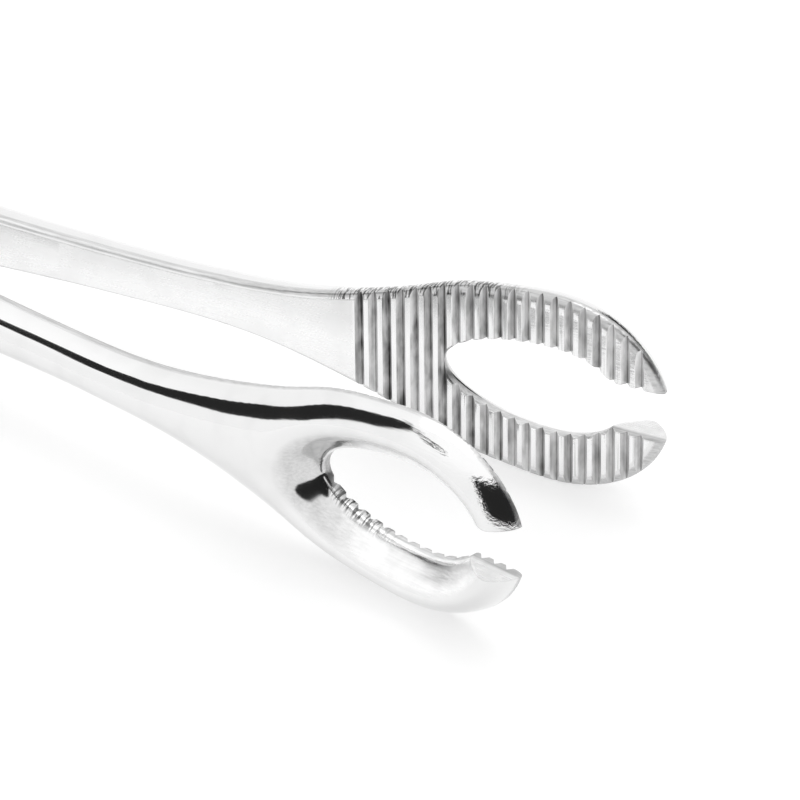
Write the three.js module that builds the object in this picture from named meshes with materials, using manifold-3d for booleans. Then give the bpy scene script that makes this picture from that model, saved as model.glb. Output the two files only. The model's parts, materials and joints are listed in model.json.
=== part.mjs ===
// Slotted ring forceps with a box lock, finger rings and a ratchet, lying on one side.
//
// Each half is one forging, modelled here as named sections with a hairline between them.
// Both halves are drawn shut along +X, with the pivot at the origin and the mating plane at Y = 0.
// The halves are then turned apart about the pivot, and the whole tool is laid on the ground.
import * as THREE from 'three';
import { mergeVertices } from 'three/addons/utils/BufferGeometryUtils.js';
import { ParametricGeometry } from 'three/addons/geometries/ParametricGeometry.js';
import Module from 'manifold-3d';

const wasm = await Module();
wasm.setup();

// Driving dimensions, in millimetres and degrees.
const OPENING = 13.17;          // angle between the two mating planes as the tool lies
const HAIRLINE = 0.05;          // gap between sections of one forging
const SEAT_GAP = 0.15;          // gap beside a section that is cut to fit round another

const JAW = {
  split: 48,                    // where the jaw section meets the shank section
  centre: 69.3,                 // widest place of the loop
  halfWidth: 7.6,
  nose: 8.75,                   // from the widest place to the tip
  bulge: 2.25,                  // exponent of the domed outer side, 2 being a plain ellipse
};
const WINDOW = {
  halfWidth: 3.5,
  nose: 5.25,                   // from the widest place towards the tip
  heel: 8.3,                    // from the widest place towards the shank
  flare: 0.75,                  // widening per millimetre of depth, on each side
  slot: 2.0,                    // half width of the opening at the tip
  below: 1,                     // how far the cutter starts outside the mating face
};
const TEETH = { first: 54.67, pitch: 1.06, count: 21, halfWidth: 0.36, depth: 0.36 };

// Front half in sections across X: half width along Z, domed depth along Y, and the inner face's
// distance from the mating plane.
const FRONT_WIDTH = [
  [9.8, 3.3], [16, 2.6], [24, 2.15], [30, 1.9], [36, 1.77], [42, 1.8], [47, 2.15], [52, 3.12], [57, 4.63],
  [62, 6.54], [66, 7.3], [69.3, 7.6], [72.6, 7.3],
];
const FRONT_DEPTH = [
  [9.8, 4.1], [22, 3.5], [32, 3.05], [40, 2.95], [48, 3.2], [56, 3.66], [64, 4.12], [71, 4.15], [79, 3.5],
];
const FACE_GAP = [[9.8, 0.15], [14, 0.3], [30, 0.3], [45, 0.25], [52, 0.05], [55, 0], [79, 0]];

const LOCK = {
  halfLength: 9.5,
  halfWidth: 4.2,
  halfHeight: 3.3,
  radius: 9.6,                  // rounds the corners of the box about the pivot
  slotHalf: 1.5,                // half height of the slot that the tongue turns in
  slotRadius: 8.1,
  tongueHalf: 1.42,
  tongueRadius: 7.95,
  shoulder: 9.8,                // the tongue half is full height beyond this radius
  side: 0.12,                   // clearance between tongue and box walls when shut
};
const PIN = { radius: 1.6, headRadius: 2.1, headHeight: 0.5, running: 0.06 };

const HANDLE = {
  path: [[-9.8, 2.15], [-30, 2.5], [-48, 4.3], [-64, 7.5], [-78, 11.2]],
  halfWidth: [[-78, 1.9], [-64, 2.1], [-30, 2.4], [-9.8, 3.3]],
  halfDepth: [[-78, 1.6], [-64, 1.6], [-30, 1.7], [-9.8, 2.0]],
};
const RING = { x: -87, y: 17, outerX: 13.5, outerY: 11.5, band: 3.7, halfHeight: 2.1, bevel: 1.2 };
const RATCHET = {
  x: -63.5,
  halfLength: 2.1,
  reach: 5.0,                   // how far the bar crosses the mating plane
  root: 7.2,                    // where it ends inside its own handle
  outer: 2.0,
  clearance: 0.1,               // from the middle plane to the tooth tips' roots
  teeth: 4,
  pitch: 1.5,
  toothDepth: 0.5,
};

const STEEL = new THREE.MeshStandardMaterial({ color: 0xc9ccd0, roughness: 0.16, metalness: 1 });
const SERRATED_STEEL = new THREE.MeshStandardMaterial({ color: 0xb9bcc0, roughness: 0.28, metalness: 1 });
const PIN_STEEL = new THREE.MeshStandardMaterial({ color: 0xc2c5c9, roughness: 0.22, metalness: 1 });

// ---------------------------------------------------------------- solids

// Turns a closed three.js geometry into a manifold-3d solid, with its faces pointing outward
// whichever way round its outline was drawn.
function solid(geometry) {
  geometry.deleteAttribute('normal');
  geometry.deleteAttribute('uv');
  const merged = mergeVertices(geometry, 1e-5);
  const corners = merged.index.array;
  const triangles = [];
  for (let i = 0; i < corners.length; i += 3) {
    const [a, b, c] = [corners[i], corners[i + 1], corners[i + 2]];
    if (a !== b && b !== c && c !== a) triangles.push(a, b, c);
  }
  const points = merged.attributes.position;
  const [p, q, r] = [new THREE.Vector3(), new THREE.Vector3(), new THREE.Vector3()];
  let volume = 0;
  for (let i = 0; i < triangles.length; i += 3) {
    p.fromBufferAttribute(points, triangles[i]);
    q.fromBufferAttribute(points, triangles[i + 1]);
    r.fromBufferAttribute(points, triangles[i + 2]);
    volume += p.dot(q.cross(r));
  }
  if (volume < 0) triangles.reverse();
  return new wasm.Manifold(new wasm.Mesh({
    numProp: 3,
    vertProperties: new Float32Array(points.array),
    triVerts: new Uint32Array(triangles),
  }));
}

function mesh(name, manifold, material) {
  const { vertProperties, triVerts } = manifold.getMesh();
  const geometry = new THREE.BufferGeometry();
  geometry.setAttribute('position', new THREE.BufferAttribute(vertProperties, 3));
  geometry.setIndex(new THREE.BufferAttribute(triVerts, 1));
  const result = new THREE.Mesh(geometry, material);
  result.name = name;
  return result;
}

function block(x0, x1, y0, y1, z0, z1) {
  const geometry = new THREE.BoxGeometry(x1 - x0, y1 - y0, z1 - z0);
  geometry.translate((x0 + x1) / 2, (y0 + y1) / 2, (z0 + z1) / 2);
  return solid(geometry);
}

// A round bar about the pivot axis.
function disc(radius, z0, z1, sides = 48) {
  const geometry = new THREE.CylinderGeometry(radius, radius, z1 - z0, sides);
  geometry.rotateX(Math.PI / 2);
  geometry.translate(0, 0, (z0 + z1) / 2);
  return solid(geometry);
}

// A smooth curve through [place, value] pairs, read at any place.
function profile(pairs) {
  return (place) => {
    const last = pairs.length - 1;
    const at = THREE.MathUtils.clamp(place, pairs[0][0], pairs[last][0]);
    let i = 0;
    while (i < last - 1 && at > pairs[i + 1][0]) i += 1;
    const slope = (k) => {
      const before = pairs[Math.max(k - 1, 0)];
      const after = pairs[Math.min(k + 1, last)];
      return (after[1] - before[1]) / (after[0] - before[0]);
    };
    const step = pairs[i + 1][0] - pairs[i][0];
    const t = (at - pairs[i][0]) / step;
    const start = pairs[i][1] * (1 + 2 * t) * (1 - t) ** 2 + slope(i) * step * t * (1 - t) ** 2;
    const end = pairs[i + 1][1] * t * t * (3 - 2 * t) + slope(i + 1) * step * t * t * (t - 1);
    return start + end;
  };
}

// Skins a row of rings, each an array of the same number of points, and closes both ends.
function loft(rings) {
  const count = rings[0].length;
  const middle = (ring) => ring.reduce((sum, p) => sum.add(p), new THREE.Vector3()).divideScalar(count);
  const caps = [Array(count).fill(middle(rings[0])), ...rings, Array(count).fill(middle(rings.at(-1)))];
  const stacks = caps.length - 1;
  const surface = (u, v, target) => {
    target.copy(caps[Math.round(v * stacks)][Math.round(u * count) % count]);
  };
  return solid(new ParametricGeometry(surface, count, stacks));
}

// ---------------------------------------------------------------- jaw and front shank

const frontWidth = profile(FRONT_WIDTH);
const frontDepth = profile(FRONT_DEPTH);
const faceGap = profile(FACE_GAP);

function halfWidthAt(x) {
  return frontWidth(Math.min(x, JAW.centre));
}

// One cross-section: flat towards the mating plane and domed outward.
function frontRing(x, segments = 14) {
  const along = Math.max(0, x - JAW.centre) / JAW.nose;
  const width = halfWidthAt(x) * Math.sqrt(Math.max(0, 1 - along ** 2));
  const depth = frontDepth(x) * Math.max(0, 1 - along ** JAW.bulge) ** (1 / JAW.bulge);
  const gap = faceGap(x);
  const ring = [];
  for (let i = 0; i <= segments; i += 1) {
    const angle = Math.PI * i / segments;
    const across = Math.sign(Math.cos(angle)) * Math.abs(Math.cos(angle)) ** (2 / JAW.bulge);
    const outward = Math.abs(Math.sin(angle)) ** (2 / JAW.bulge);
    ring.push(new THREE.Vector3(x, gap + depth * outward, width * across));
  }
  return ring;
}

function frontSolid(places) {
  return loft(places.map((x) => frontRing(x)));
}

function range(from, to, steps) {
  return Array.from({ length: steps + 1 }, (_, i) => from + (to - from) * i / steps);
}

// The window in the loop, open to the tip through the slot and wider on the outer side.
function windowCutter() {
  const outline = new THREE.Shape();
  outline.absellipse(0, 0, WINDOW.nose, WINDOW.halfWidth, -Math.PI / 2, Math.PI / 2, false);
  outline.absellipse(0, 0, WINDOW.heel, WINDOW.halfWidth, Math.PI / 2, Math.PI * 1.5, false);
  const geometry = new THREE.ExtrudeGeometry(outline, { depth: 8, bevelEnabled: false, curveSegments: 12 });
  const position = geometry.attributes.position;
  for (let i = 0; i < position.count; i += 1) {
    const spread = WINDOW.flare * Math.max(0, position.getZ(i) - WINDOW.below) / WINDOW.halfWidth;
    position.setX(i, position.getX(i) * (1 + spread / 2));
    position.setY(i, position.getY(i) * (1 + spread));
  }
  // The extrusion's depth becomes the outward direction, +Y.
  geometry.rotateX(-Math.PI / 2);
  geometry.translate(JAW.centre, -WINDOW.below, 0);
  const slot = block(JAW.centre, JAW.centre + JAW.nose + 2, -WINDOW.below, 7, -WINDOW.slot, WINDOW.slot);
  return solid(geometry).add(slot);
}

// The grooves across the mating face, as one comb of V-shaped ridges.
function grooveCutter(offset) {
  const outline = new THREE.Shape();
  const start = TEETH.first + offset;
  const end = start + (TEETH.count - 1) * TEETH.pitch;
  outline.moveTo(start - TEETH.pitch, -1);
  outline.lineTo(start - TEETH.pitch, -0.02);
  for (let k = 0; k < TEETH.count; k += 1) {
    const x = start + k * TEETH.pitch;
    outline.lineTo(x - TEETH.halfWidth, -0.02);
    outline.lineTo(x, TEETH.depth);
    outline.lineTo(x + TEETH.halfWidth, -0.02);
  }
  outline.lineTo(end + TEETH.pitch, -0.02);
  outline.lineTo(end + TEETH.pitch, -1);
  const geometry = new THREE.ExtrudeGeometry(outline, { depth: 20, bevelEnabled: false });
  geometry.translate(0, 0, -10);
  return solid(geometry);
}

function jaw(offset) {
  const places = [
    ...range(JAW.split + HAIRLINE / 2, 64, 6),
    ...range(64, JAW.centre, 2).slice(1),
    ...[0.3, 0.55, 0.75, 0.88, 0.96].map((part) => JAW.centre + JAW.nose * part),
  ];
  return frontSolid(places).subtract(windowCutter()).subtract(grooveCutter(offset));
}

function frontShank() {
  return frontSolid([9.8, 12, 16, 22, 30, 38, 44, JAW.split - HAIRLINE / 2]);
}

// ---------------------------------------------------------------- lock

// The outline of the box seen along the pivot, rounded at its corners.
function lockBlank(halfHeight) {
  const body = block(-LOCK.halfLength, LOCK.halfLength, -LOCK.halfWidth, LOCK.halfWidth, -halfHeight, halfHeight);
  return body.intersect(disc(LOCK.radius, -halfHeight, halfHeight));
}

function pinHole(running) {
  return disc(PIN.radius + running, -10, 10, 32)
    .add(disc(PIN.headRadius + running, LOCK.halfHeight - PIN.headHeight, 10, 32))
    .add(disc(PIN.headRadius + running, -10, PIN.headHeight - LOCK.halfHeight, 32));
}

function lockBox() {
  const h = LOCK.slotHalf;
  const slot = disc(LOCK.slotRadius, -h, h)
    .add(block(0, 14, -6, LOCK.side, -h, h))
    .add(block(-14, 0, -LOCK.side, 6, -h, h));
  return lockBlank(LOCK.halfHeight).subtract(slot).subtract(pinHole(HAIRLINE));
}

// The tongue, with the necks that carry it out of the slot to the full-height shanks. In the
// tongue half's own drawing the front is on the +Y side, and the half is mirrored afterwards.
function lockTongue() {
  const h = LOCK.tongueHalf;
  const plate = lockBlank(h).intersect(disc(LOCK.tongueRadius, -h, h, 48));
  const frontNeck = block(0, LOCK.shoulder - HAIRLINE, SEAT_GAP, LOCK.halfWidth, -h, h);
  const rearNeck = block(HAIRLINE - LOCK.shoulder, 0, -LOCK.halfWidth, -SEAT_GAP, -h, h);
  return plate.add(frontNeck).add(rearNeck).subtract(disc(PIN.radius + PIN.running, -10, 10, 32));
}

function pivotPin() {
  const head = PIN.headHeight - HAIRLINE;
  return disc(PIN.radius, -LOCK.halfHeight, LOCK.halfHeight, 32)
    .add(disc(PIN.headRadius, LOCK.halfHeight - head, LOCK.halfHeight, 32))
    .add(disc(PIN.headRadius, -LOCK.halfHeight, head - LOCK.halfHeight, 32));
}

// ---------------------------------------------------------------- handle, ring and ratchet

const handleCentre = profile([...HANDLE.path].reverse());
const handleWidth = profile(HANDLE.halfWidth);
const handleDepth = profile(HANDLE.halfDepth);

// A rounded bar that bends outward, on the -Y side, as far as the finger ring.
function handleBar(grow = 0) {
  const places = [-9.8, -13, -20, -30, -39, -48, -56, -64, -71, -78];
  const sides = 12;
  const rings = places.map((x) => Array.from({ length: sides }, (_, i) => {
    const angle = 2 * Math.PI * i / sides;
    const across = Math.sign(Math.cos(angle)) * Math.abs(Math.cos(angle)) ** 0.75;
    const up = Math.sign(Math.sin(angle)) * Math.abs(Math.sin(angle)) ** 0.75;
    const y = -handleCentre(x) + (handleDepth(x) + grow) * across;
    return new THREE.Vector3(x, y, (handleWidth(x) + grow) * up);
  }));
  return loft(rings);
}

function ringOutline(inset) {
  const outline = new THREE.Shape();
  outline.absellipse(0, 0, RING.outerX - inset, RING.outerY - inset, 0, 2 * Math.PI, false);
  return outline;
}

function fingerRing() {
  const outline = ringOutline(RING.bevel);
  outline.holes.push(ringOutline(RING.band - RING.bevel));
  const geometry = new THREE.ExtrudeGeometry(outline, {
    depth: 2 * (RING.halfHeight - RING.bevel),
    bevelThickness: RING.bevel,
    bevelSize: RING.bevel,
    bevelSegments: 2,
    curveSegments: 24,
  });
  geometry.translate(RING.x, -RING.y, RING.bevel - RING.halfHeight);
  return solid(geometry);
}

function handle() {
  const clear = new THREE.ExtrudeGeometry(ringOutline(-SEAT_GAP), { depth: 10, bevelEnabled: false, curveSegments: 24 });
  clear.translate(RING.x, -RING.y, -5);
  return handleBar().subtract(solid(clear));
}

// A bar across the gap between the handles, toothed on the side that faces the other half's bar.
function ratchet() {
  const outline = new THREE.Shape();
  outline.moveTo(-RATCHET.root, RATCHET.outer);
  outline.lineTo(-RATCHET.root, RATCHET.clearance);
  const first = RATCHET.reach - RATCHET.teeth * RATCHET.pitch;
  outline.lineTo(first - 0.6, RATCHET.clearance);
  for (let k = 0; k < RATCHET.teeth; k += 1) {
    const y = first + k * RATCHET.pitch;
    outline.lineTo(y, RATCHET.clearance + RATCHET.toothDepth);
    outline.lineTo(y + RATCHET.pitch * 0.8, RATCHET.clearance);
  }
  outline.lineTo(RATCHET.reach, RATCHET.clearance + 0.3);
  outline.lineTo(RATCHET.reach, RATCHET.outer - 0.5);
  outline.lineTo(RATCHET.reach - 0.5, RATCHET.outer);
  const geometry = new THREE.ExtrudeGeometry(outline, { depth: 2 * RATCHET.halfLength, bevelEnabled: false });
  // The outline's x runs along Y and its y along Z, so the depth becomes X.
  geometry.rotateX(Math.PI / 2);
  geometry.rotateZ(Math.PI / 2);
  geometry.translate(RATCHET.x - RATCHET.halfLength, 0, 0);
  return solid(geometry).subtract(handleBar(SEAT_GAP));
}

// ---------------------------------------------------------------- assembly

const boxHalf = new THREE.Group();
boxHalf.add(
  mesh('box_jaw', jaw(0), SERRATED_STEEL),
  mesh('box_shank', frontShank(), STEEL),
  mesh('lock_box', lockBox(), STEEL),
  mesh('box_handle', handle(), STEEL),
  mesh('box_ratchet', ratchet(), STEEL),
  mesh('box_finger_ring', fingerRing(), STEEL),
  mesh('pivot_pin', pivotPin(), PIN_STEEL),
);
boxHalf.rotation.z = THREE.MathUtils.degToRad(OPENING / 2);

// A half turn about X takes the second half to the other side of the mating plane.
function turnedOver(manifold) {
  return manifold.rotate([180, 0, 0]);
}

const tongueHalf = new THREE.Group();
tongueHalf.add(
  mesh('tongue_jaw', turnedOver(jaw(TEETH.pitch / 2)), SERRATED_STEEL),
  mesh('tongue_shank', turnedOver(frontShank()), STEEL),
  mesh('lock_tongue', turnedOver(lockTongue()), STEEL),
  mesh('tongue_handle', turnedOver(handle()), STEEL),
  mesh('tongue_ratchet', turnedOver(ratchet()), STEEL),
  mesh('tongue_finger_ring', turnedOver(fingerRing()), STEEL),
);
tongueHalf.rotation.z = THREE.MathUtils.degToRad(-OPENING / 2);

// The tool lies on the lower edges of its two jaws and its two finger rings.
const forceps = new THREE.Group();
const lie = Math.atan((JAW.halfWidth - RING.halfHeight) / (JAW.centre - RING.x + RING.outerX * 0.7));
const tool = new THREE.Group();
tool.rotation.y = -lie;
tool.add(boxHalf, tongueHalf);
forceps.add(tool);

// The frame's origin is on the ground, under the middle of the tool.
forceps.updateMatrixWorld(true);
const box = new THREE.Box3().setFromObject(forceps, true);
const middle = box.getCenter(new THREE.Vector3());
tool.position.set(-middle.x, -middle.y, -box.min.z);
forceps.updateMatrixWorld(true);

export default forceps;
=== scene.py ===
"""Slotted ring forceps: the finished surfaces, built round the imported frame."""
import json
import math

import bmesh
import bpy
import numpy as np
from bpy.props import FloatProperty, FloatVectorProperty, IntProperty, PointerProperty
from mathutils import Matrix, Vector


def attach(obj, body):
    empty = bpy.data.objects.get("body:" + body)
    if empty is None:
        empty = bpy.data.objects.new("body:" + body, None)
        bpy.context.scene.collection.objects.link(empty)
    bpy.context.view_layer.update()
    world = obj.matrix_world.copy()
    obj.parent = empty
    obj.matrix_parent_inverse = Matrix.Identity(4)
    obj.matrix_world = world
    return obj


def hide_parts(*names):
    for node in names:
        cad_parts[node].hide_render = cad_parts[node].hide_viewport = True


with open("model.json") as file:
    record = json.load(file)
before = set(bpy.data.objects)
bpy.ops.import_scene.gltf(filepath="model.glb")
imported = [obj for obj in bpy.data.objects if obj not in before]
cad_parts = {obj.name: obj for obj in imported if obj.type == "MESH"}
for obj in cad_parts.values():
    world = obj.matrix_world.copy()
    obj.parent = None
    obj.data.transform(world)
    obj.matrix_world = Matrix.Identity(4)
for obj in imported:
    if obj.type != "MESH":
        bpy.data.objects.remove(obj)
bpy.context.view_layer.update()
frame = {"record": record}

bl_info = {
    "name": "Slotted Ring Forceps",
    "version": (1, 0, 0),
    "blender": (4, 5, 0),
    "location": "3D View > Sidebar > Forceps",
    "description": "Builds polished locking forceps with serrated ring jaws on a pale studio floor",
    "category": "Object",
}

MM = 0.001

# The frame: the pivot's place and lean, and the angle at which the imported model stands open.
PIVOT = frame["record"]["behaviour"]["joints"][0]
PIVOT_PLACE = Vector(PIVOT["pos_m"])
LEAN = math.asin(PIVOT["axis"][0])
OPENING = math.radians(13.17)

# Each half is drawn shut, in millimetres: x from the pivot to the tip, y outward from the mating
# plane, z along the pin. A pair is (place along x, value), joined by a smooth curve.
JAW_HALF_WIDTH = 7.6
JAW_WIDENS = (47.0, 62.0)
HALF_WIDTH = ((9.8, 3.3), (16, 2.6), (24, 2.15), (30, 1.9), (36, 1.77), (42, 1.8), (47, 2.15), (52, 3.12),
              (57, 4.63), (62, 6.54), (66, 7.3), (69.3, JAW_HALF_WIDTH), (72.6, 7.3))
DOME_DEPTH = ((9.8, 4.1), (22, 3.5), (32, 3.05), (40, 2.95), (48, 3.2), (56, 3.66), (64, 4.12), (71, 4.15),
              (79, 3.5))
SHANK_GAP = 0.3
GAP_CLOSES = (42.0, 54.0)
EDGE_ROUND = ((9.8, 0.55), (46, 0.55), (56, 0.5), (79, 0.5))
DOME_POWER = 2.25
DOME_SCALE = 2.2
FLAT_ALLOWANCE = 0.02
LOOP_CENTRE = 69.3
LOOP_NOSE = 8.75
WINDOW_HEEL = 8.3
WINDOW_NOSE = 5.25
WINDOW_FLARE = 1.15
WINDOW_STRAIGHT = 1.0
WINDOW_SPREAD = 0.8
FLARE_BLEND = 0.6
# The window's rim is rounder on the outer side: (distance from the mating plane, radius).
RIM_ROUND = ((0.0, 0.22), (1.2, 0.3), (2.4, 0.8), (9, 0.8))
FIRST_GROOVE = 54.67

LOCK_LENGTH = 9.5
LOCK_WIDTH = 4.2
LOCK_HEIGHT = 3.3
LOCK_RADIUS = 9.6
SLOT_HEIGHT = 1.5
SLOT_RADIUS = 8.1
PASSAGE = (14.0, 6.0)
TONGUE_HEIGHT = 1.42
TONGUE_EXTRA = 1.5
SHOULDER_RADIUS = 9.78
SHANK_START = 9.8
SHANK_OVERLAP = 2.0

# The handle's places are counted backwards from the pivot.
HANDLE_PATH = ((9.8, 2.15), (30, 2.5), (48, 4.3), (64, 7.5), (78, 11.2), (90, 14.2))
HANDLE_WIDTH = ((9.8, 3.2), (30, 2.4), (64, 2.1), (78, 1.9), (90, 1.9))
HANDLE_DEPTH = ((9.8, 2.0), (30, 1.7), (64, 1.6), (78, 1.6), (90, 1.6))
HANDLE_POWER = 2.6
HANDLE_END = -77.0
RING_CENTRE = (-87.0, -17.0)
RING_MIDDLE = (11.65, 9.65)
RING_BAND = 1.85
RING_HEIGHT = 2.1
RING_POWER = 2.4
RATCHET_PLACE = -63.5
RATCHET_LENGTH = 2.1
RATCHET_REACH = 5.0
RATCHET_ROOT = 8.0
RATCHET_TOP = 2.0
RATCHET_BASE = 0.1
# The teeth: how many, their pitch, where the first one is, and the size of each notch.
RATCHET_TEETH = {"Count": 4, "Pitch": 1.5, "First": -0.6, "Half Width": 0.7, "Depth": 0.55, "Length": 8.0}

PIN_RADIUS = 1.6
PIN_HEAD = 2.1
PIN_HEAD_HEIGHT = 0.5
PIN_HEAD_LIFT = 0.06
# The crown of each head: (radius, height above the lock's flat side).
PIN_CROWN = ((0, 0.12), (0.8, 0.1), (1.5, 0.04), (PIN_HEAD - 0.12, -0.04), (PIN_HEAD, -0.14))
PIN_SIDES = 96
PIN_SEAT_GAP = 0.05
PIN_HEAD_GAP = 0.04
PIN_RUNNING_GAP = 0.06
LOCK_GAP = 0.12
NECK_GAP = 0.08

# Roundings of edges, and fillets where one shape of a forging runs into another.
LOCK_EDGE = 0.55
LOCK_CORNER = 0.4
TONGUE_EDGE = 0.3
RATCHET_EDGE = 0.35
SHANK_FILLET = 0.4
LOCK_FILLET = 1.2
RING_FILLET = 2.0
RATCHET_FILLET = 0.9

# How far a cutter reaches past the steel: sideways and up, beyond the tip, and behind the lock.
CUT_REACH = 15.0
CUT_TIP = 84.0
CUT_REAR = -30.0


# ---------------------------------------------------------------- implicit shapes

def smooth_curve(pairs, x):
    """The value at x of a smooth curve through (place, value) pairs."""
    places, values = np.array(pairs, float).T
    slopes = np.gradient(values, places)
    x = np.clip(x, places[0], places[-1])
    i = np.clip(np.searchsorted(places, x) - 1, 0, len(places) - 2)
    step = places[i + 1] - places[i]
    t = (x - places[i]) / step
    start = values[i] * (1 + 2 * t) * (1 - t) ** 2 + slopes[i] * step * t * (1 - t) ** 2
    end = values[i + 1] * t * t * (3 - 2 * t) + slopes[i + 1] * step * t * t * (t - 1)
    return start + end


def join(a, b, radius):
    """Union of two shapes, with a fillet."""
    h = np.clip(0.5 + 0.5 * (b - a) / radius, 0, 1)
    return b * (1 - h) + a * h - radius * h * (1 - h)


def common(a, b, radius):
    """What two shapes share, with the edge between them rounded."""
    return -join(-a, -b, radius)


def face_gap(x):
    """Distance of the inner face from the mating plane: open along the shank, closed at the jaw."""
    t = np.clip((x - GAP_CLOSES[0]) / (GAP_CLOSES[1] - GAP_CLOSES[0]), 0, 1)
    return SHANK_GAP * (1 - t * t * (3 - 2 * t))


def superellipse(a, b, power):
    return (np.abs(a) ** power + np.abs(b) ** power) ** (1 / power)


def front(x, y, z, sizes):
    """Shank and loop: domed outward, with a window that widens outward and is open at the tip."""
    widening = np.clip((x - JAW_WIDENS[0]) / (JAW_WIDENS[1] - JAW_WIDENS[0]), 0, 1)
    grow = 1 + (sizes.jaw_half_width / JAW_HALF_WIDTH - 1) * widening
    width = smooth_curve(HALF_WIDTH, np.minimum(x, LOOP_CENTRE)) * grow
    nose = np.maximum(x - LOOP_CENTRE, 0) / LOOP_NOSE
    across = np.maximum(np.sqrt(nose ** 2 + (z / width) ** 2), 1e-6)
    gap = face_gap(x)
    up = np.maximum(y - gap, 0) / smooth_curve(DOME_DEPTH, x)
    dome = (superellipse(across, up, DOME_POWER) - 1) * DOME_SCALE
    dome = common(dome, gap - FLAT_ALLOWANCE - y, smooth_curve(EDGE_ROUND, x))
    flare = WINDOW_FLARE * (y - WINDOW_STRAIGHT)
    flare = -join(-flare, np.zeros_like(flare), FLARE_BLEND)
    length = np.where(x < LOOP_CENTRE, WINDOW_HEEL, WINDOW_NOSE) + flare * WINDOW_SPREAD
    opening = sizes.window_half_width + flare
    window = (superellipse((x - LOOP_CENTRE) / length, z / opening, 2) - 1) * opening
    shape = common(dome, -window, smooth_curve(RIM_ROUND, y))
    return np.maximum(shape, SHANK_START - SHANK_OVERLAP - x)


def rounded_box(x, y, z, sides, radius):
    a = np.maximum(np.abs(x) - sides[0] + radius, 0)
    b = np.maximum(np.abs(y) - sides[1] + radius, 0)
    c = np.maximum(np.abs(z) - sides[2] + radius, 0)
    inside = np.maximum(np.maximum(np.abs(x) - sides[0], np.abs(y) - sides[1]), np.abs(z) - sides[2])
    return np.where(inside < -radius, inside, np.sqrt(a * a + b * b + c * c) - radius)


def handle(x, y, z):
    """The bar behind the lock, bending away on the -y side."""
    back = -x
    centre = -smooth_curve(HANDLE_PATH, back)
    slope = smooth_curve(HANDLE_PATH, back + 0.5) - smooth_curve(HANDLE_PATH, back - 0.5)
    depth = smooth_curve(HANDLE_DEPTH, back)
    width = smooth_curve(HANDLE_WIDTH, back)
    away = (y - centre) / np.sqrt(1 + slope ** 2)
    bar = (superellipse(away / depth, z / width, HANDLE_POWER) - 1) * depth
    return np.maximum(bar, np.maximum(x + SHANK_START - SHANK_OVERLAP, HANDLE_END - x))


def finger_ring(x, y, z):
    dx = x - RING_CENTRE[0]
    dy = y - RING_CENTRE[1]
    a, b = RING_MIDDLE
    rho = np.maximum(np.sqrt((dx / a) ** 2 + (dy / b) ** 2), 1e-3)
    away = rho * (rho - 1) / np.sqrt((dx / a ** 2) ** 2 + (dy / b ** 2) ** 2 + 1e-9)
    return (superellipse(away / RING_BAND, z / RING_HEIGHT, RING_POWER) - 1) * RING_BAND


def ratchet(x, y, z):
    middle = (RATCHET_REACH - RATCHET_ROOT) / 2
    half = (RATCHET_REACH + RATCHET_ROOT) / 2
    height = (RATCHET_TOP - RATCHET_BASE) / 2
    sides = (RATCHET_LENGTH, half, height)
    return rounded_box(x - RATCHET_PLACE, y - middle, z - RATCHET_BASE - height, sides, RATCHET_EDGE)


def rear(x, y, z):
    shape = join(handle(x, y, z), finger_ring(x, y, z), RING_FILLET)
    return join(shape, ratchet(x, y, z), RATCHET_FILLET)


def box_half_shape(x, y, z, sizes):
    lock = rounded_box(x, y, z, (LOCK_LENGTH, LOCK_WIDTH, LOCK_HEIGHT), LOCK_EDGE)
    lock = common(lock, np.sqrt(x * x + y * y) - LOCK_RADIUS, LOCK_CORNER)
    shape = join(front(x, y, z, sizes), rear(x, y, z), SHANK_FILLET)
    return join(shape, lock, LOCK_FILLET)


def tongue_half_shape(x, y, z, sizes):
    shape = join(front(x, y, z, sizes), rear(x, y, z), SHANK_FILLET)
    blank = rounded_box(x, y, z, (LOCK_LENGTH + TONGUE_EXTRA, LOCK_WIDTH, LOCK_HEIGHT), LOCK_EDGE)
    side = np.where(x > 0, LOCK_GAP - y, y + LOCK_GAP)
    return join(shape, common(blank, side, TONGUE_EDGE), LOCK_FILLET)


# ---------------------------------------------------------------- meshes from implicit shapes

def spaced(stretches):
    """Grid places along one axis, from (start, step) stretches ending in a last place."""
    places = []
    for (start, step), (end, _) in zip(stretches, stretches[1:]):
        count = max(1, round((end - start) / step))
        places.extend(np.linspace(start, end, count, endpoint=False))
    places.append(stretches[-1][0])
    return np.array(places)


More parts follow.
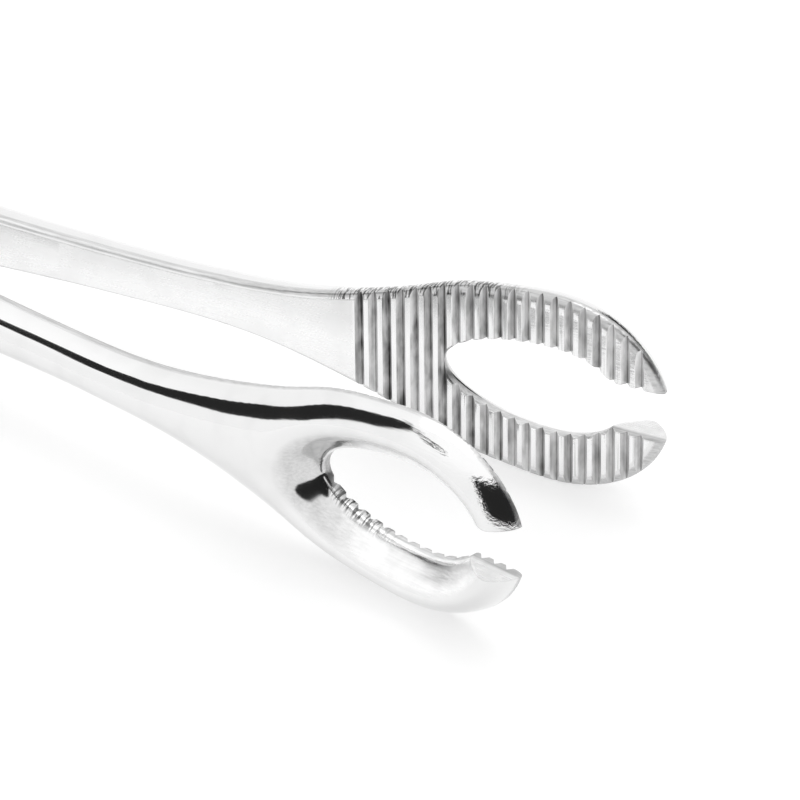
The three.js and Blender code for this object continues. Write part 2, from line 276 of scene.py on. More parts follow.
def surface_net(shape, axes):
    """Vertices and quads where shape changes sign on a grid, facing out of the negative side."""
    nx, ny, nz = (len(a) for a in axes)
    values = shape(axes[0][:, None, None], axes[1][None, :, None], axes[2][None, None, :])
    values = np.ascontiguousarray(np.broadcast_to(values, (nx, ny, nz)))
    inside = values < 0
    corners = [(i, j, k) for i in (0, 1) for j in (0, 1) for k in (0, 1)]
    count = sum(inside[i:nx - 1 + i, j:ny - 1 + j, k:nz - 1 + k].astype(np.int8) for i, j, k in corners)
    active = (count > 0) & (count < 8)
    cells = np.argwhere(active)
    index = -np.ones(active.shape, int)
    index[active] = np.arange(len(cells))
    total = np.zeros((len(cells), 3))
    hits = np.zeros(len(cells))
    for corner in corners:
        for d in range(3):
            if corner[d]:
                continue
            other = list(corner)
            other[d] = 1
            a = values[tuple((cells + corner).T)]
            b = values[tuple((cells + other).T)]
            cross = (a < 0) != (b < 0)
            place = np.tile(np.array(corner, float), (len(cells), 1))
            place[:, d] += np.where(cross, a / np.where(a == b, 1, a - b), 0)
            total[cross] += place[cross]
            hits[cross] += 1
    within = total / hits[:, None]
    points = np.empty((len(cells), 3))
    for d in range(3):
        low = axes[d][cells[:, d]]
        points[:, d] = low + within[:, d] * (axes[d][cells[:, d] + 1] - low)
    quads = []
    for d in range(3):
        first, second = [slice(None)] * 3, [slice(None)] * 3
        first[d], second[d] = slice(0, -1), slice(1, None)
        start = inside[tuple(first)]
        edges = np.argwhere(start != inside[tuple(second)])
        u, v = ((1, 2), (2, 0), (0, 1))[d]
        keep = (edges[:, u] > 0) & (edges[:, v] > 0)
        keep &= (edges[:, u] < values.shape[u] - 1) & (edges[:, v] < values.shape[v] - 1)
        edges = edges[keep]
        ring = []
        for du, dv in ((1, 1), (0, 1), (0, 0), (1, 0)):
            cell = edges.copy()
            cell[:, u] -= du
            cell[:, v] -= dv
            ring.append(index[tuple(cell.T)])
        quad = np.stack(ring, 1)
        flip = ~start[tuple(edges.T)]
        quad[flip] = quad[flip][:, ::-1]
        quads.append(quad)
    return points, np.concatenate(quads)


def settle(shape, points, rounds=4):
    """Moves points onto the surface of shape, along its gradient."""
    reach = 0.01
    for _ in range(rounds):
        slope = np.empty_like(points)
        for d in range(3):
            ahead, behind = points.copy(), points.copy()
            ahead[:, d] += reach
            behind[:, d] -= reach
            slope[:, d] = (shape(*ahead.T) - shape(*behind.T)) / (2 * reach)
        step = shape(*points.T) / np.maximum((slope ** 2).sum(1), 1e-6)
        points = points - slope * np.clip(step, -0.08, 0.08)[:, None]
    return points


def mesh_object(name, points, faces):
    mesh = bpy.data.meshes.new(name)
    mesh.from_pydata([tuple(p) for p in points], [], [tuple(int(i) for i in face) for face in faces])
    mesh.validate()
    thing = bpy.data.objects.new(name, mesh)
    bpy.context.scene.collection.objects.link(thing)
    return thing


def prism(outline, low, high):
    """A closed solid: an outline in x and y raised from low to high along z."""
    bm = bmesh.new()
    bottom = [bm.verts.new((x, y, low)) for x, y in outline]
    top = [bm.verts.new((x, y, high)) for x, y in outline]
    bm.faces.new(bottom)
    bm.faces.new(list(reversed(top)))
    for i in range(len(outline)):
        j = (i + 1) % len(outline)
        bm.faces.new((bottom[j], bottom[i], top[i], top[j]))
    bmesh.ops.recalc_face_normals(bm, faces=bm.faces)
    mesh = bpy.data.meshes.new("cutter")
    bm.to_mesh(mesh)
    bm.free()
    thing = bpy.data.objects.new("cutter", mesh)
    bpy.context.scene.collection.objects.link(thing)
    return thing


def circle(radius, sides=128):
    turns = [2 * math.pi * i / sides for i in range(sides)]
    return [(radius * math.cos(turn), radius * math.sin(turn)) for turn in turns]


def baked(thing):
    """Replaces an object's mesh with what its modifiers make of it."""
    graph = bpy.context.evaluated_depsgraph_get()
    mesh = bpy.data.meshes.new_from_object(thing.evaluated_get(graph))
    thing.modifiers.clear()
    thing.data = mesh
    return thing


def cut(thing, cutter, operation="DIFFERENCE"):
    """Cuts thing with cutter, which is used up."""
    modifier = thing.modifiers.new("cut", "BOOLEAN")
    modifier.operation = operation
    modifier.solver = "MANIFOLD"
    modifier.object = cutter
    before = len(thing.data.polygons)
    baked(thing)
    if len(thing.data.polygons) == 0 or before == 0:
        raise RuntimeError(f"cutting {thing.name} left nothing")
    bpy.data.objects.remove(cutter)
    return thing


# ---------------------------------------------------------------- repeated cuts, by geometry nodes

def groove_tree():
    """Three-sided bars in a row along x: the cutter for the cross grooves and the ratchet teeth."""
    tree = bpy.data.node_groups.new("row_of_grooves", "GeometryNodeTree")
    sockets = (("Count", "NodeSocketInt", 21), ("Pitch", "NodeSocketFloat", 1.0),
               ("First", "NodeSocketFloat", 0.0), ("Half Width", "NodeSocketFloat", 0.36),
               ("Depth", "NodeSocketFloat", 0.42), ("Length", "NodeSocketFloat", 20.0),
               ("Steel", "NodeSocketMaterial", None))
    for name, kind, default in sockets:
        socket = tree.interface.new_socket(name=name, in_out="INPUT", socket_type=kind)
        if default is not None:
            socket.default_value = default
    tree.interface.new_socket(name="Cutter", in_out="OUTPUT", socket_type="NodeSocketGeometry")
    inputs = tree.nodes.new("NodeGroupInput")
    output = tree.nodes.new("NodeGroupOutput")
    link = tree.links.new
    step = tree.nodes.new("ShaderNodeCombineXYZ")
    link(inputs.outputs["Pitch"], step.inputs["X"])
    start = tree.nodes.new("ShaderNodeCombineXYZ")
    link(inputs.outputs["First"], start.inputs["X"])
    row = tree.nodes.new("GeometryNodeMeshLine")
    link(inputs.outputs["Count"], row.inputs["Count"])
    link(start.outputs[0], row.inputs["Start Location"])
    link(step.outputs[0], row.inputs["Offset"])
    bar = tree.nodes.new("GeometryNodeMeshCylinder")
    bar.inputs["Vertices"].default_value = 3
    bar.inputs["Radius"].default_value = 1.0
    link(inputs.outputs["Length"], bar.inputs["Depth"])
    # A three-sided bar of radius 1 is 2 / sqrt(3) wide at its axis and 1 high above it.
    wide = tree.nodes.new("ShaderNodeMath")
    wide.operation = "MULTIPLY"
    wide.inputs[1].default_value = math.sqrt(3)
    link(inputs.outputs["Half Width"], wide.inputs[0])
    stretch = tree.nodes.new("ShaderNodeCombineXYZ")
    link(inputs.outputs["Depth"], stretch.inputs["X"])
    link(wide.outputs[0], stretch.inputs["Y"])
    stretch.inputs["Z"].default_value = 1.0
    sized = tree.nodes.new("GeometryNodeTransform")
    link(bar.outputs["Mesh"], sized.inputs["Geometry"])
    link(stretch.outputs[0], sized.inputs["Scale"])
    turn = tree.nodes.new("GeometryNodeTransform")
    turn.inputs["Rotation"].default_value = (0.0, 0.0, math.radians(90))
    link(sized.outputs[0], turn.inputs["Geometry"])
    place = tree.nodes.new("GeometryNodeInstanceOnPoints")
    link(row.outputs[0], place.inputs["Points"])
    link(turn.outputs[0], place.inputs["Instance"])
    solid = tree.nodes.new("GeometryNodeRealizeInstances")
    link(place.outputs[0], solid.inputs[0])
    coat = tree.nodes.new("GeometryNodeSetMaterial")
    link(solid.outputs[0], coat.inputs["Geometry"])
    link(inputs.outputs["Steel"], coat.inputs["Material"])
    link(coat.outputs[0], output.inputs[0])
    return tree


def groove_row(values):
    """A cutter made by the groove tree, with the given named inputs."""
    tree = bpy.data.node_groups.get("row_of_grooves") or groove_tree()
    thing = mesh_object("grooves", [(0, 0, 0)], [])
    modifier = thing.modifiers.new("grooves", "NODES")
    modifier.node_group = tree
    for item in tree.interface.items_tree:
        if item.in_out == "INPUT" and item.name in values:
            modifier[item.identifier] = values[item.name]
    return baked(thing)


# ---------------------------------------------------------------- the two halves and the pin

def tool_place():
    """From the shut tool's own frame, in millimetres, to the ground frame, in metres."""
    return Matrix.Translation(PIVOT_PLACE) @ Matrix.Rotation(LEAN, 4, "Y") @ Matrix.Scale(MM, 4)


def half_place(side):
    """Place of one half: +1 for the box half, -1 for the tongue half, which is turned over."""
    turned = Matrix.Identity(4) if side > 0 else Matrix.Rotation(math.pi, 4, "X")
    return tool_place() @ Matrix.Rotation(side * OPENING / 2, 4, "Z") @ turned


def half_axes():
    """The grid that a half is made on: fine at the jaw, the lock and the ring, coarse between."""
    x = ((-101.5, 0.34), (-72, 0.5), (-67, 0.3), (-60, 0.7), (-14, 0.3), (14, 0.45), (46, 0.25), (53, 0.19),
         (79.5, 0))
    y = ((-29.5, 0.34), (-11, 0.28), (-5.5, 0.2), (6, 0))
    z = ((-8.4, 0.2), (8.4, 0))
    return spaced(x), spaced(y), spaced(z)


def mating_cutter():
    """Clears the mating side in front of the lock, flat where the grooves are."""
    start = SHANK_START - NECK_GAP
    places = np.linspace(start, GAP_CLOSES[1], 60)
    outline = [(x, max(float(face_gap(x)) - FLAT_ALLOWANCE / 2, 0.0)) for x in places]
    outline += [(CUT_TIP, 0.0), (CUT_TIP, -CUT_REACH), (start, -CUT_REACH)]
    return prism(outline, -CUT_REACH, CUT_REACH)


def rear_cutter():
    """Clears the other half's side just behind the lock."""
    edge = NECK_GAP - SHANK_START
    side = -0.1
    outline = [(edge, side), (edge, CUT_REACH), (CUT_REAR, CUT_REACH), (CUT_REAR, side)]
    return prism(outline, -CUT_REACH, CUT_REACH)


def tip_cutter(half_width):
    """Opens the loop at the tip."""
    start, end, side = LOOP_CENTRE, CUT_TIP, CUT_REACH
    outline = [(start, -side), (end, -side), (end, side), (start, side)]
    return prism(outline, -half_width, half_width)


def half_mesh(name, shape, sizes, first_groove):
    """One half, drawn shut: its smooth body, then its flat mating faces, slot, grooves and teeth."""
    def body(x, y, z):
        return shape(x, y, z, sizes)
    points, quads = surface_net(body, half_axes())
    thing = mesh_object(name, settle(body, points), quads)
    cut(thing, mating_cutter())
    cut(thing, rear_cutter())
    cut(thing, tip_cutter(sizes.slot_half_width))
    cut(thing, groove_row({
        "Count": sizes.groove_count, "Pitch": sizes.groove_pitch, "First": first_groove,
        "Half Width": sizes.groove_half_width, "Depth": sizes.groove_depth, "Length": 30.0}))
    teeth = groove_row(RATCHET_TEETH)
    quarter = math.radians(90)
    across = Matrix.Rotation(quarter, 4, "Z") @ Matrix.Rotation(quarter, 4, "X")
    teeth.data.transform(Matrix.Translation((RATCHET_PLACE, 0, RATCHET_BASE)) @ across)
    cut(thing, teeth)
    return thing


def finish_half(thing, side, material):
    thing.data.transform(half_place(side))
    thing.data.materials.clear()
    thing.data.materials.append(material)
    thing.data.shade_smooth()
    thing.data.set_sharp_from_angle(angle=math.radians(30))
    return thing


def make_box_half(sizes, material):
    thing = half_mesh("box_half", box_half_shape, sizes, FIRST_GROOVE)
    cut(thing, prism(circle(SLOT_RADIUS), -SLOT_HEIGHT, SLOT_HEIGHT))
    # The tongue comes out in front on the -y side, and behind on the +y side.
    end, side = PASSAGE
    for turn in (1, -1):
        outline = [(0, LOCK_GAP), (0, -side), (end, -side), (end, LOCK_GAP)]
        cut(thing, prism([(turn * x, turn * y) for x, y in outline], -SLOT_HEIGHT, SLOT_HEIGHT))
    cut(thing, prism(circle(PIN_RADIUS + PIN_SEAT_GAP, PIN_SIDES), -CUT_REACH, CUT_REACH))
    seat = LOCK_HEIGHT - PIN_HEAD_HEIGHT
    for low, high in ((seat, CUT_REACH), (-CUT_REACH, -seat)):
        cut(thing, prism(circle(PIN_HEAD + PIN_HEAD_GAP, PIN_SIDES), low, high))
    return finish_half(thing, 1, material)


def make_tongue_half(sizes, material):
    first_groove = FIRST_GROOVE + sizes.groove_pitch / 2
    thing = half_mesh("tongue_half", tongue_half_shape, sizes, first_groove)
    for low, high in ((TONGUE_HEIGHT, CUT_REACH), (-CUT_REACH, -TONGUE_HEIGHT)):
        cut(thing, prism(circle(SHOULDER_RADIUS), low, high))
    cut(thing, prism(circle(PIN_RADIUS + PIN_RUNNING_GAP, PIN_SIDES), -CUT_REACH, CUT_REACH))
    return finish_half(thing, -1, material)


def make_pin(material):
    """The riveted pin: a shaft with two flush, slightly crowned heads."""
    under = LOCK_HEIGHT - PIN_HEAD_HEIGHT + PIN_HEAD_LIFT
    profile = [(radius, LOCK_HEIGHT + rise) for radius, rise in PIN_CROWN]
    profile += [(PIN_HEAD, under), (PIN_RADIUS, under)]
    profile += [(radius, -height) for radius, height in reversed(profile)]
    points, faces = [], []
    for radius, height in profile:
        if radius == 0:
            points.append((0, 0, height))
        else:
            points += [(x, y, height) for x, y in circle(radius, PIN_SIDES)]
    last = len(points) - 1
    for i in range(PIN_SIDES):
        j = (i + 1) % PIN_SIDES
        faces.append((0, 1 + i, 1 + j))
        faces.append((last, last - PIN_SIDES + j, last - PIN_SIDES + i))
        for ring in range(len(profile) - 3):
            a = 1 + ring * PIN_SIDES
            faces.append((a + i, a + PIN_SIDES + i, a + PIN_SIDES + j, a + j))
    thing = mesh_object("rivet_pin", points, faces)
    return finish_half(thing, 1, material)


# ---------------------------------------------------------------- materials

class Socket:
    """A shader value. Arithmetic on it adds Math nodes."""

    def __init__(self, nodes, output):
        self.nodes = nodes
        self.output = output

    def _math(self, operation, a, b):
        return self.nodes.add("ShaderNodeMath", {"operation": operation}, {0: a, 1: b})

    def __add__(self, other):
        return self._math("ADD", self, other)

    __radd__ = __add__

    def __sub__(self, other):
        return self._math("SUBTRACT", self, other)

    def __rsub__(self, other):
        return self._math("SUBTRACT", other, self)

    def __mul__(self, other):
        return self._math("MULTIPLY", self, other)

    __rmul__ = __mul__

    def __truediv__(self, other):
        return self._math("DIVIDE", self, other)


class Nodes:
    """Adds nodes to one tree: a type, its settings, and the values or links of its sockets."""

    def __init__(self, tree):
        self.tree = tree

    def add(self, kind, settings=None, inputs=None, output=0):
        node = self.tree.nodes.new(kind)
        for name, value in (settings or {}).items():
            setattr(node, name, value)
        for key, value in (inputs or {}).items():
            if isinstance(value, Socket):
                self.tree.links.new(value.output, node.inputs[key])
            else:
                node.inputs[key].default_value = value
        return Socket(self, node.outputs[output]) if len(node.outputs) else None

    def power(self, value, exponent):
        return self.add("ShaderNodeMath", {"operation": "POWER"}, {0: value, 1: exponent})

    def size(self, value):
        return self.add("ShaderNodeMath", {"operation": "ABSOLUTE"}, {0: value})

    def limit(self, value, low, high):
        return self.add("ShaderNodeClamp", None, {0: value, 1: low, 2: high})


def smooth_step(nodes, value, low, high, start, end):
    """Start below low, end above high, and a smooth rise between."""
    return nodes.add("ShaderNodeMapRange", {"interpolation_type": "SMOOTHSTEP"}, {
        "Value": value, "From Min": low, "From Max": high, "To Min": start, "To Max": end})


def new_material(name):
    material = bpy.data.materials.new(name)
    material.use_nodes = True
    tree = material.node_tree
    tree.nodes.clear()
    return material, Nodes(tree)


def steel_places(nodes, side):
    """Object coordinates turned back to the shut half's own frame, in millimetres."""
    place = half_place(side)
    where = nodes.add("ShaderNodeTexCoord", output=3)
    return nodes.add("ShaderNodeMapping", {"vector_type": "TEXTURE"}, {
        "Vector": where, "Location": place.to_translation(), "Rotation": place.to_euler(),
        "Scale": (MM, MM, MM)})


def streaks(nodes, local, scale, detail=3.0):
    """Noise stretched by a different scale along each axis."""
    stretched = nodes.add("ShaderNodeMapping", {"vector_type": "POINT"}, {"Vector": local, "Scale": scale})
    return nodes.add("ShaderNodeTexNoise", None, {"Vector": stretched, "Scale": 1.0, "Detail": detail})


def band(nodes, value, low, high, rise, fall):
    """1 between low and high, 0 outside, with borders as wide as rise and fall."""
    start = smooth_step(nodes, value, low, low + rise, 0.0, 1.0)
    return start * smooth_step(nodes, value, high - fall, high, 1.0, 0.0)


def groove_marks(nodes, x, y, first_groove, sizes):
    """1 over the row of cross grooves, 1 on their walls, and the painted shade of each wall, with a random
    tone for each groove.
    """
    turn = (x - first_groove) / sizes.groove_pitch
    number = nodes.add("ShaderNodeMath", {"operation": "ROUND"}, {0: turn})
    aside = turn - number
    off = nodes.size(aside) * sizes.groove_pitch
    wall = sizes.groove_depth * (1.0 - off / sizes.groove_half_width)
    last = first_groove + (sizes.groove_count - 1) * sizes.groove_pitch
    row = band(nodes, x, first_groove - 0.5, last + 0.5, 0.05, 0.05)
    on_wall = smooth_step(nodes, nodes.size(y - wall), 0.02, 0.05, 1.0, 0.0)
    grooved = on_wall * row * smooth_step(nodes, y, 0.01, 0.03, 0.0, 1.0)
    uneven = nodes.add("ShaderNodeTexWhiteNoise", {"noise_dimensions": "1D"}, {"W": number})
    # Painted shade: the wall that faces the tip is the darker one, and the bottom is darker still.
    shade = smooth_step(nodes, aside, -0.02, 0.02, 0.38, 0.1)
    shade = shade + smooth_step(nodes, off, 0.02, 0.06, 0.35, 0.0)
    shade = shade + 0.3 * (uneven - 0.5)
    return row, grooved, shade


def window_wall(nodes, x, y, z, sizes):
    """1 on the walls of the window in the loop."""
    beyond = nodes.add("ShaderNodeMath", {"operation": "MAXIMUM"}, {0: y - WINDOW_STRAIGHT, 1: 0.0})
    flare = beyond * WINDOW_FLARE
    reach = smooth_step(nodes, x, LOOP_CENTRE - 0.01, LOOP_CENTRE + 0.01, WINDOW_HEEL, WINDOW_NOSE)
    length = reach + flare * WINDOW_SPREAD
    along = (x - LOOP_CENTRE) / length
    across = z / (flare + sizes.window_half_width)
    return smooth_step(nodes, along * along + across * across, 1.0, 1.1, 1.0, 0.0)


class Steel:
    """Steel in one half's own frame: places, noise, and the tone, roughness and relief so far."""

    def __init__(self, nodes, side, roughness):
        self.nodes = nodes
        self.local = steel_places(nodes, side)
        self.x, self.y, self.z = (
            nodes.add("ShaderNodeSeparateXYZ", None, {0: self.local}, i) for i in range(3))
        self.lines = streaks(nodes, self.local, (0.25, 6.0, 6.0))
        self.milled = streaks(nodes, self.local, (5.0, 5.0, 0.12), 4.0)
        self.chatter = streaks(nodes, self.local, (1.3, 1.3, 0.5))
        cloud = streaks(nodes, self.local, (0.35, 0.35, 0.35), 2.0)
        self.tone = 1.0 - 0.04 * smooth_step(nodes, cloud, 0.45, 0.7, 0.0, 1.0)
        self.rough = roughness * (0.7 + 0.6 * self.lines) + 0.03 * cloud
        self.relief = self.lines * smooth_step(nodes, self.x, 66.0, 72.0, 0.4, 9.0)

    def finish(self, tone, rough):
        """Scales the tone and adds to the roughness."""
        self.tone = self.tone * tone
        self.rough = self.rough + rough


def finish_grooves(steel, first_groove, groove, shade):
    """The walls of the grooves are painted grey with shade, streaked, and paler towards the tip; the first
    groove is darker.
    """
    nodes, x = steel.nodes, steel.x
    # How much of the painted shade on the groove walls is kept: less towards the tip.
    fade_to_tip = smooth_step(nodes, x, 60.0, 74.0, 1.0, 0.7)
    first = smooth_step(nodes, x, first_groove + 0.4, first_groove + 0.5, 0.15, 0.0)
    # Painted shade on the groove walls, streaked by the milled and chatter noise.
    dark = 0.9 * shade + first + 0.9 * (steel.milled - 0.5) + 1.5 * (steel.chatter - 0.5)
    steel.finish(1.0 - groove * fade_to_tip * nodes.limit(dark, 0.04, 0.92), groove * 0.22)
    steel.relief = steel.relief + groove * steel.milled * 1.5


def finish_face(steel, row, face):
    """The flat face is satin and streaked between the grooves; painted light brightens it, and on the shank
    more towards -z than towards +z.
    """
    nodes = steel.nodes
    streaked = smooth_step(nodes, steel.milled, 0.5, 0.7, 0.0, 1.0)
    streaked = streaked * smooth_step(nodes, steel.x, 58.0, 66.0, 0.1, 0.3)
    # Painted light: the lands between the grooves are brightened, less where streaked.
    steel.finish(1.0 + face * row * (0.16 - streaked), face * 0.1)
    # Painted light on the shank's flat face, fading towards +z as painted shade.
    flat = face * (1.0 - row)
    steel.finish(1.0 + flat * smooth_step(nodes, steel.z, -0.5, 2.0, 0.15, 0.05), flat * 0.1)


def finish_window(steel, wall):
    """The window's walls get painted shade at the heel end and painted light towards the tip, with streaks,
    and are less of a mirror towards the tip.
    """
    nodes, x = steel.nodes, steel.x
    # Painted shade at the heel end, painted light towards the tip, and streaks.
    painted_light_and_streaks = smooth_step(nodes, x, 62.5, 66.0, -0.16, 0.24) - 0.3 * (steel.lines + steel.chatter - 0.9)
    steel.finish(1.0 + wall * painted_light_and_streaks, wall * smooth_step(nodes, x, 62.0, 66.0, 0.02, 0.3))


def finish_slot(steel, slot_half_width):
    """The two faces of the slot at the tip are only ground."""
    nodes = steel.nodes
    border = slot_half_width + 0.04
    beside = smooth_step(nodes, nodes.size(steel.z), border, border + 0.04, 1.0, 0.0)
    ground = band(nodes, steel.x, 73.0, 79.0, 0.5, 0.5) * beside
    steel.finish(1.0 - ground * (0.12 + 0.3 * (steel.chatter - 0.5)), ground * 0.2)


def finish_edge(steel, edge):
    """A band of painted shade, streaked as if brushed, runs along the edges between the flat face and the
    dome.
    """
    brushed = streaks(steel.nodes, steel.local, (0.4, 7.0, 7.0))
    # Painted shade on the edge band, streaked by the brushed noise, and a little rougher.
    steel.finish(1.0 - edge * (0.24 + 0.6 * (brushed - 0.4)), edge * 0.25)


def file_edge(steel, above, groove):
    """Rough file marks cross the edge on the +z side, where the grooves run out."""
    nodes = steel.nodes
    slanted = nodes.add("ShaderNodeMapping", {"vector_type": "POINT"}, {
        "Vector": steel.local, "Rotation": (0.0, 0.0, math.radians(35)), "Scale": (6.5, 1.0, 1.0)})
    marks = nodes.add("ShaderNodeTexNoise", None, {"Vector": slanted, "Scale": 1.0, "Detail": 3.0})
    filed = band(nodes, steel.x, 52.0, 68.0, 1.5, 4.0) * band(nodes, above, 0.02, 1.4, 0.02, 0.5)
    filed = filed * smooth_step(nodes, steel.z, 1.0, 2.0, 0.0, 1.0) * (1.0 - groove)
    steel.tone = steel.tone * (1.0 - 0.8 * filed * smooth_step(nodes, marks, 0.47, 0.54, 0.0, 1.0))
    steel.relief = steel.relief + filed * marks


def finish_jaw(steel, first_groove, sizes):
    """Finishes what isn't polished, with painted light and shade on some of it: grooves, flat face, window,
    slot and edges.
    """
    nodes, x, y, z = steel.nodes, steel.x, steel.y, steel.z
    above = y - smooth_step(nodes, x, *GAP_CLOSES, SHANK_GAP, 0.0)
    in_front = smooth_step(nodes, x, SHANK_START, SHANK_START + 1.0, 0.0, 1.0)
    row, groove, shade = groove_marks(nodes, x, y, first_groove, sizes)
    face = smooth_step(nodes, above, 0.01, 0.03, 1.0, 0.0) * in_front
    wall = window_wall(nodes, x, y, z, sizes) * (1.0 - groove) * (1.0 - face)
    edge = band(nodes, above, 0.04, 0.85, 0.05, 0.3) * in_front * (1.0 - groove)
    finish_grooves(steel, first_groove, groove, shade)
    finish_face(steel, row, face)
    finish_window(steel, wall)
    finish_slot(steel, sizes.slot_half_width)
    finish_edge(steel, edge)
    file_edge(steel, above, groove)


def polished_steel(name, look, side, first_groove=None, sizes=None):
    """Mirror-polished stainless steel with fine polishing lines; a half's jaw gets its own finishes, some
    with painted light and shade.
    """
    material, nodes = new_material(name)
    steel = Steel(nodes, side, look.roughness)
    if first_groove is not None:
        finish_jaw(steel, first_groove, sizes)
    bump = nodes.add("ShaderNodeBump", None, {
        "Strength": 0.06, "Distance": 0.00005, "Height": steel.relief})
    colour = nodes.add("ShaderNodeMix", {"data_type": "RGBA", "clamp_factor": False}, {
        0: steel.tone, 6: (0.0, 0.0, 0.0, 1.0), 7: (*look.colour, 1.0)}, 2)
    shader = nodes.add("ShaderNodeBsdfPrincipled", None, {
        "Base Color": colour, "Metallic": 1.0, "Roughness": steel.rough, "Normal": bump})
    nodes.add("ShaderNodeOutputMaterial", None, {"Surface": shader})
    return material


# ---------------------------------------------------------------- stage

# The camera, in the shut tool's frame: angles in degrees, lengths in millimetres.
VIEW_TURN = 32.80
VIEW_HEIGHT = 34.01
VIEW_ROLL = -0.63
VIEW_DISTANCE = 543.8
VIEW_TARGET = (61.64, 0.01, 1.30)
LENS = 360.0
SENSOR = 36.0


def place_camera():
    turn, height, roll = (math.radians(a) for a in (VIEW_TURN, VIEW_HEIGHT, VIEW_ROLL))
    back = Vector((math.sin(turn) * math.cos(height), -math.cos(turn) * math.cos(height), math.sin(height)))
    right = Vector((math.cos(turn), math.sin(turn), 0))
    up = back.cross(right)
    level_right = right * math.cos(roll) + up * math.sin(roll)
    level_up = up * math.cos(roll) - right * math.sin(roll)
    turned = Matrix((level_right, level_up, back)).transposed().to_4x4()
    camera = bpy.data.cameras.new("camera")
    camera.sensor_width = SENSOR
    camera.lens = LENS
    camera.clip_start = 0.01
    camera.clip_end = 50
    thing = bpy.data.objects.new("camera", camera)
    bpy.context.scene.collection.objects.link(thing)
    target = Vector(VIEW_TARGET) + back * VIEW_DISTANCE
    lean = Matrix.Rotation(LEAN, 4, "Y")
    thing.matrix_world = Matrix.Translation(tool_place() @ target) @ lean @ turned
    bpy.context.scene.camera = thing


def make_floor(look):
    """A white acrylic table top, lit from below."""
    material, nodes = new_material("pale_floor")
    shader = nodes.add("ShaderNodeBsdfPrincipled", None, {
        "Base Color": (*look.floor_colour, 1.0), "Roughness": 0.6, "Specular IOR Level": 0.1,
        "Emission Color": (1.0, 1.0, 1.0, 1.0), "Emission Strength": look.floor_glow})
    nodes.add("ShaderNodeOutputMaterial", None, {"Surface": shader})
    size = 3.0
    corners = [(-size, -size, 0), (size, -size, 0), (size, size, 0), (-size, size, 0)]
    floor = mesh_object("floor", corners, [(0, 1, 2, 3)])
    floor.data.materials.append(material)


# Dark openings in the light tent, in degrees: the middle's compass angle from +X and its height, and
# the half sizes.
DARK_OPENINGS = ((-16.0, 22.0, 48.0, 24.0), (60.0, 8.0, 42.0, 12.0), (-165.5, 34.0, 13.5, 22.0),
                 (-128.0, 57.8, 31.0, 2.4))
# The higher this power, the squarer their corners.
CORNER_POWER = 6.0


def light_tent(look):
    """A white tent of light round the table, with dark openings where the room shows."""
    world = bpy.data.worlds.new("light_tent")
    bpy.context.scene.world = world
    world.use_nodes = True
    world.node_tree.nodes.clear()
    nodes = Nodes(world.node_tree)
    towards = nodes.add("ShaderNodeTexCoord", output=0)
    east, north, up = (nodes.add("ShaderNodeSeparateXYZ", None, {0: towards}, i) for i in range(3))
    height = nodes.add("ShaderNodeMath", {"operation": "ARCSINE"}, {0: up})
    bright = smooth_step(nodes, height, math.radians(25), math.radians(60), 1.0, 1.12)
    for turn, middle, half_turn, half_height in DARK_OPENINGS:
        turn = math.radians(turn)
        ahead = east * math.cos(turn) + north * math.sin(turn)
        aside = north * math.cos(turn) - east * math.sin(turn)
        bearing = nodes.add("ShaderNodeMath", {"operation": "ARCTAN2"}, {0: aside, 1: ahead})
        off = bearing / math.radians(half_turn)
        rise = (height - math.radians(middle)) / math.radians(half_height)
        total = nodes.power(nodes.size(off), CORNER_POWER) + nodes.power(nodes.size(rise), CORNER_POWER)
        square = nodes.power(total, 1 / CORNER_POWER)
        bright = bright * smooth_step(nodes, square, 0.94, 1.04, 0.02, 1.0)
    seen = nodes.add("ShaderNodeLightPath", output=0)
    level = bright * (1.0 - seen) + seen
    back = nodes.add("ShaderNodeBackground", None, {
        "Color": (1.0, 1.0, 1.0, 1.0), "Strength": level * look.tent_strength})
    nodes.add("ShaderNodeOutputWorld", None, {"Surface": back})


def place_light(look):
    lamp = bpy.data.lights.new("overhead_softbox", "AREA")
    lamp.shape = "RECTANGLE"
    lamp.size = 0.6
    lamp.size_y = 0.5
    lamp.energy = look.softbox_power
    thing = bpy.data.objects.new("overhead_softbox", lamp)
    thing.matrix_world = Matrix.Translation((0.0, 0.25, 0.7)) @ Matrix.Rotation(math.radians(-20), 4, "X")
    bpy.context.scene.collection.objects.link(thing)


# ---------------------------------------------------------------- settings, operators and panel

class ForcepsSizes(bpy.types.PropertyGroup):
    """Sizes of the jaws, in millimetres."""
    jaw_half_width: FloatProperty(
        name="Jaw half width", description="Half the loop's width", default=JAW_HALF_WIDTH)
    window_half_width: FloatProperty(
        name="Window half width", description="Half the window's width", default=3.5)
    slot_half_width: FloatProperty(
        name="Slot half width", description="Half the gap at the tip", default=2.0)
    groove_count: IntProperty(name="Grooves", description="Cross grooves on each jaw", default=21)
    groove_pitch: FloatProperty(name="Groove pitch", description="Distance between grooves", default=1.06)
    groove_half_width: FloatProperty(
        name="Groove half width", description="Half a groove's width", default=0.36)
    groove_depth: FloatProperty(name="Groove depth", description="Depth of a groove", default=0.42)


class ForcepsLook(bpy.types.PropertyGroup):
    """Finish of the steel, and the studio."""
    colour: FloatVectorProperty(
        name="Steel colour", description="Tint of the steel", subtype="COLOR",
        default=(0.80, 0.80, 0.80))
    roughness: FloatProperty(name="Polish roughness", description="0 is a perfect mirror", default=0.06)
    floor_colour: FloatVectorProperty(
        name="Floor colour", description="Colour of the table", subtype="COLOR", default=(0.48, 0.48, 0.48))
    floor_glow: FloatProperty(name="Floor glow", description="Light from under the table", default=0.58)
    tent_strength: FloatProperty(
        name="Tent strength", description="Brightness of the light tent", default=1.1)
    softbox_power: FloatProperty(
        name="Softbox power", description="Power of the overhead softbox", unit="POWER", default=1.0)


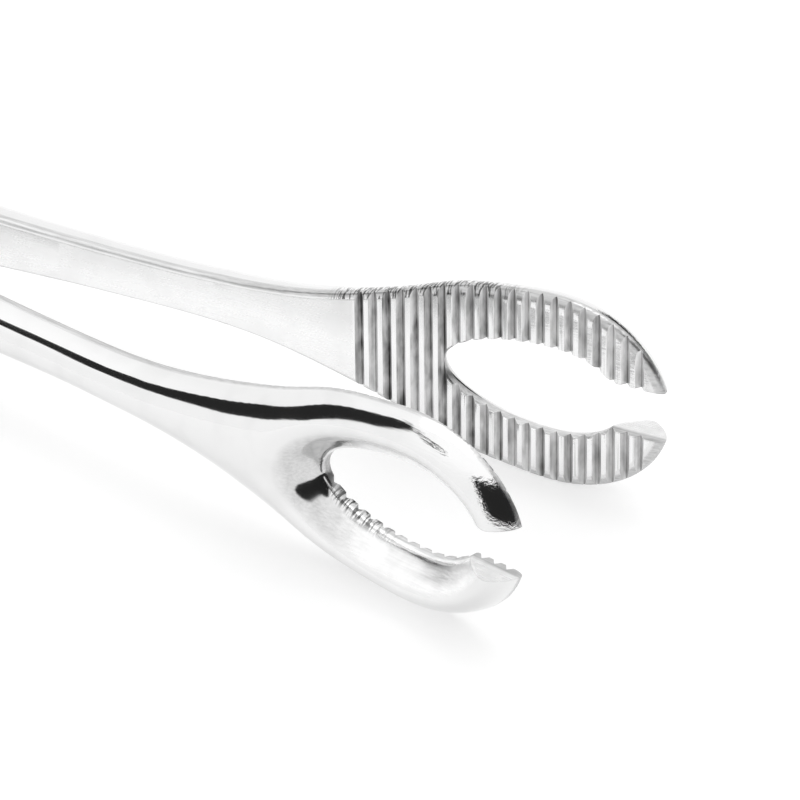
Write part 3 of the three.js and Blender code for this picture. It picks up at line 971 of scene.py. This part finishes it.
class FORCEPS_OT_box_half(bpy.types.Operator):
    """Make the half that holds the lock's box"""
    bl_idname = "forceps.box_half"
    bl_label = "Box Half"

    def execute(self, context):
        scene = context.scene
        sizes = scene.forceps_sizes
        steel = polished_steel("box_half_steel", scene.forceps_look, 1, FIRST_GROOVE, sizes)
        half = make_box_half(sizes, steel)
        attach(half, "box_half")
        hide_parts("box_jaw", "box_shank", "lock_box", "box_handle", "box_ratchet",
                    "box_finger_ring")
        return {"FINISHED"}


class FORCEPS_OT_tongue_half(bpy.types.Operator):
    """Make the half whose tongue passes through the box"""
    bl_idname = "forceps.tongue_half"
    bl_label = "Tongue Half"

    def execute(self, context):
        scene = context.scene
        sizes = scene.forceps_sizes
        first_groove = FIRST_GROOVE + sizes.groove_pitch / 2
        steel = polished_steel("tongue_half_steel", scene.forceps_look, -1, first_groove, sizes)
        half = make_tongue_half(sizes, steel)
        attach(half, "tongue_half")
        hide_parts("tongue_jaw", "tongue_shank", "lock_tongue", "tongue_handle", "tongue_ratchet",
                    "tongue_finger_ring")
        return {"FINISHED"}


class FORCEPS_OT_pin(bpy.types.Operator):
    """Make the riveted pivot pin"""
    bl_idname = "forceps.pin"
    bl_label = "Pivot Pin"

    def execute(self, context):
        pin = make_pin(polished_steel("pin_steel", context.scene.forceps_look, 1))
        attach(pin, "box_half")
        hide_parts("pivot_pin")
        return {"FINISHED"}


class FORCEPS_OT_stage(bpy.types.Operator):
    """Set the floor, the light and the camera"""
    bl_idname = "forceps.stage"
    bl_label = "Studio Stage"

    def execute(self, context):
        look = context.scene.forceps_look
        make_floor(look)
        light_tent(look)
        place_light(look)
        place_camera()
        context.scene.view_settings.view_transform = "Standard"
        return {"FINISHED"}


class FORCEPS_PT_panel(bpy.types.Panel):
    """Buttons for each piece"""
    bl_idname = "FORCEPS_PT_panel"
    bl_label = "Slotted Ring Forceps"
    bl_space_type = "VIEW_3D"
    bl_region_type = "UI"
    bl_category = "Forceps"

    def draw(self, context):
        for operator in OPERATORS:
            self.layout.operator(operator.bl_idname)


OPERATORS = (FORCEPS_OT_box_half, FORCEPS_OT_tongue_half, FORCEPS_OT_pin, FORCEPS_OT_stage)
CLASSES = (ForcepsSizes, ForcepsLook, *OPERATORS, FORCEPS_PT_panel)


def register():
    for cls in CLASSES:
        bpy.utils.register_class(cls)
    bpy.types.Scene.forceps_sizes = PointerProperty(type=ForcepsSizes)
    bpy.types.Scene.forceps_look = PointerProperty(type=ForcepsLook)


def unregister():
    del bpy.types.Scene.forceps_look
    del bpy.types.Scene.forceps_sizes
    for cls in reversed(CLASSES):
        bpy.utils.unregister_class(cls)


def main():
    register()
    for operator in OPERATORS:
        area, name = operator.bl_idname.split(".")
        getattr(getattr(bpy.ops, area), name)()


if __name__ == "__main__":
    main()
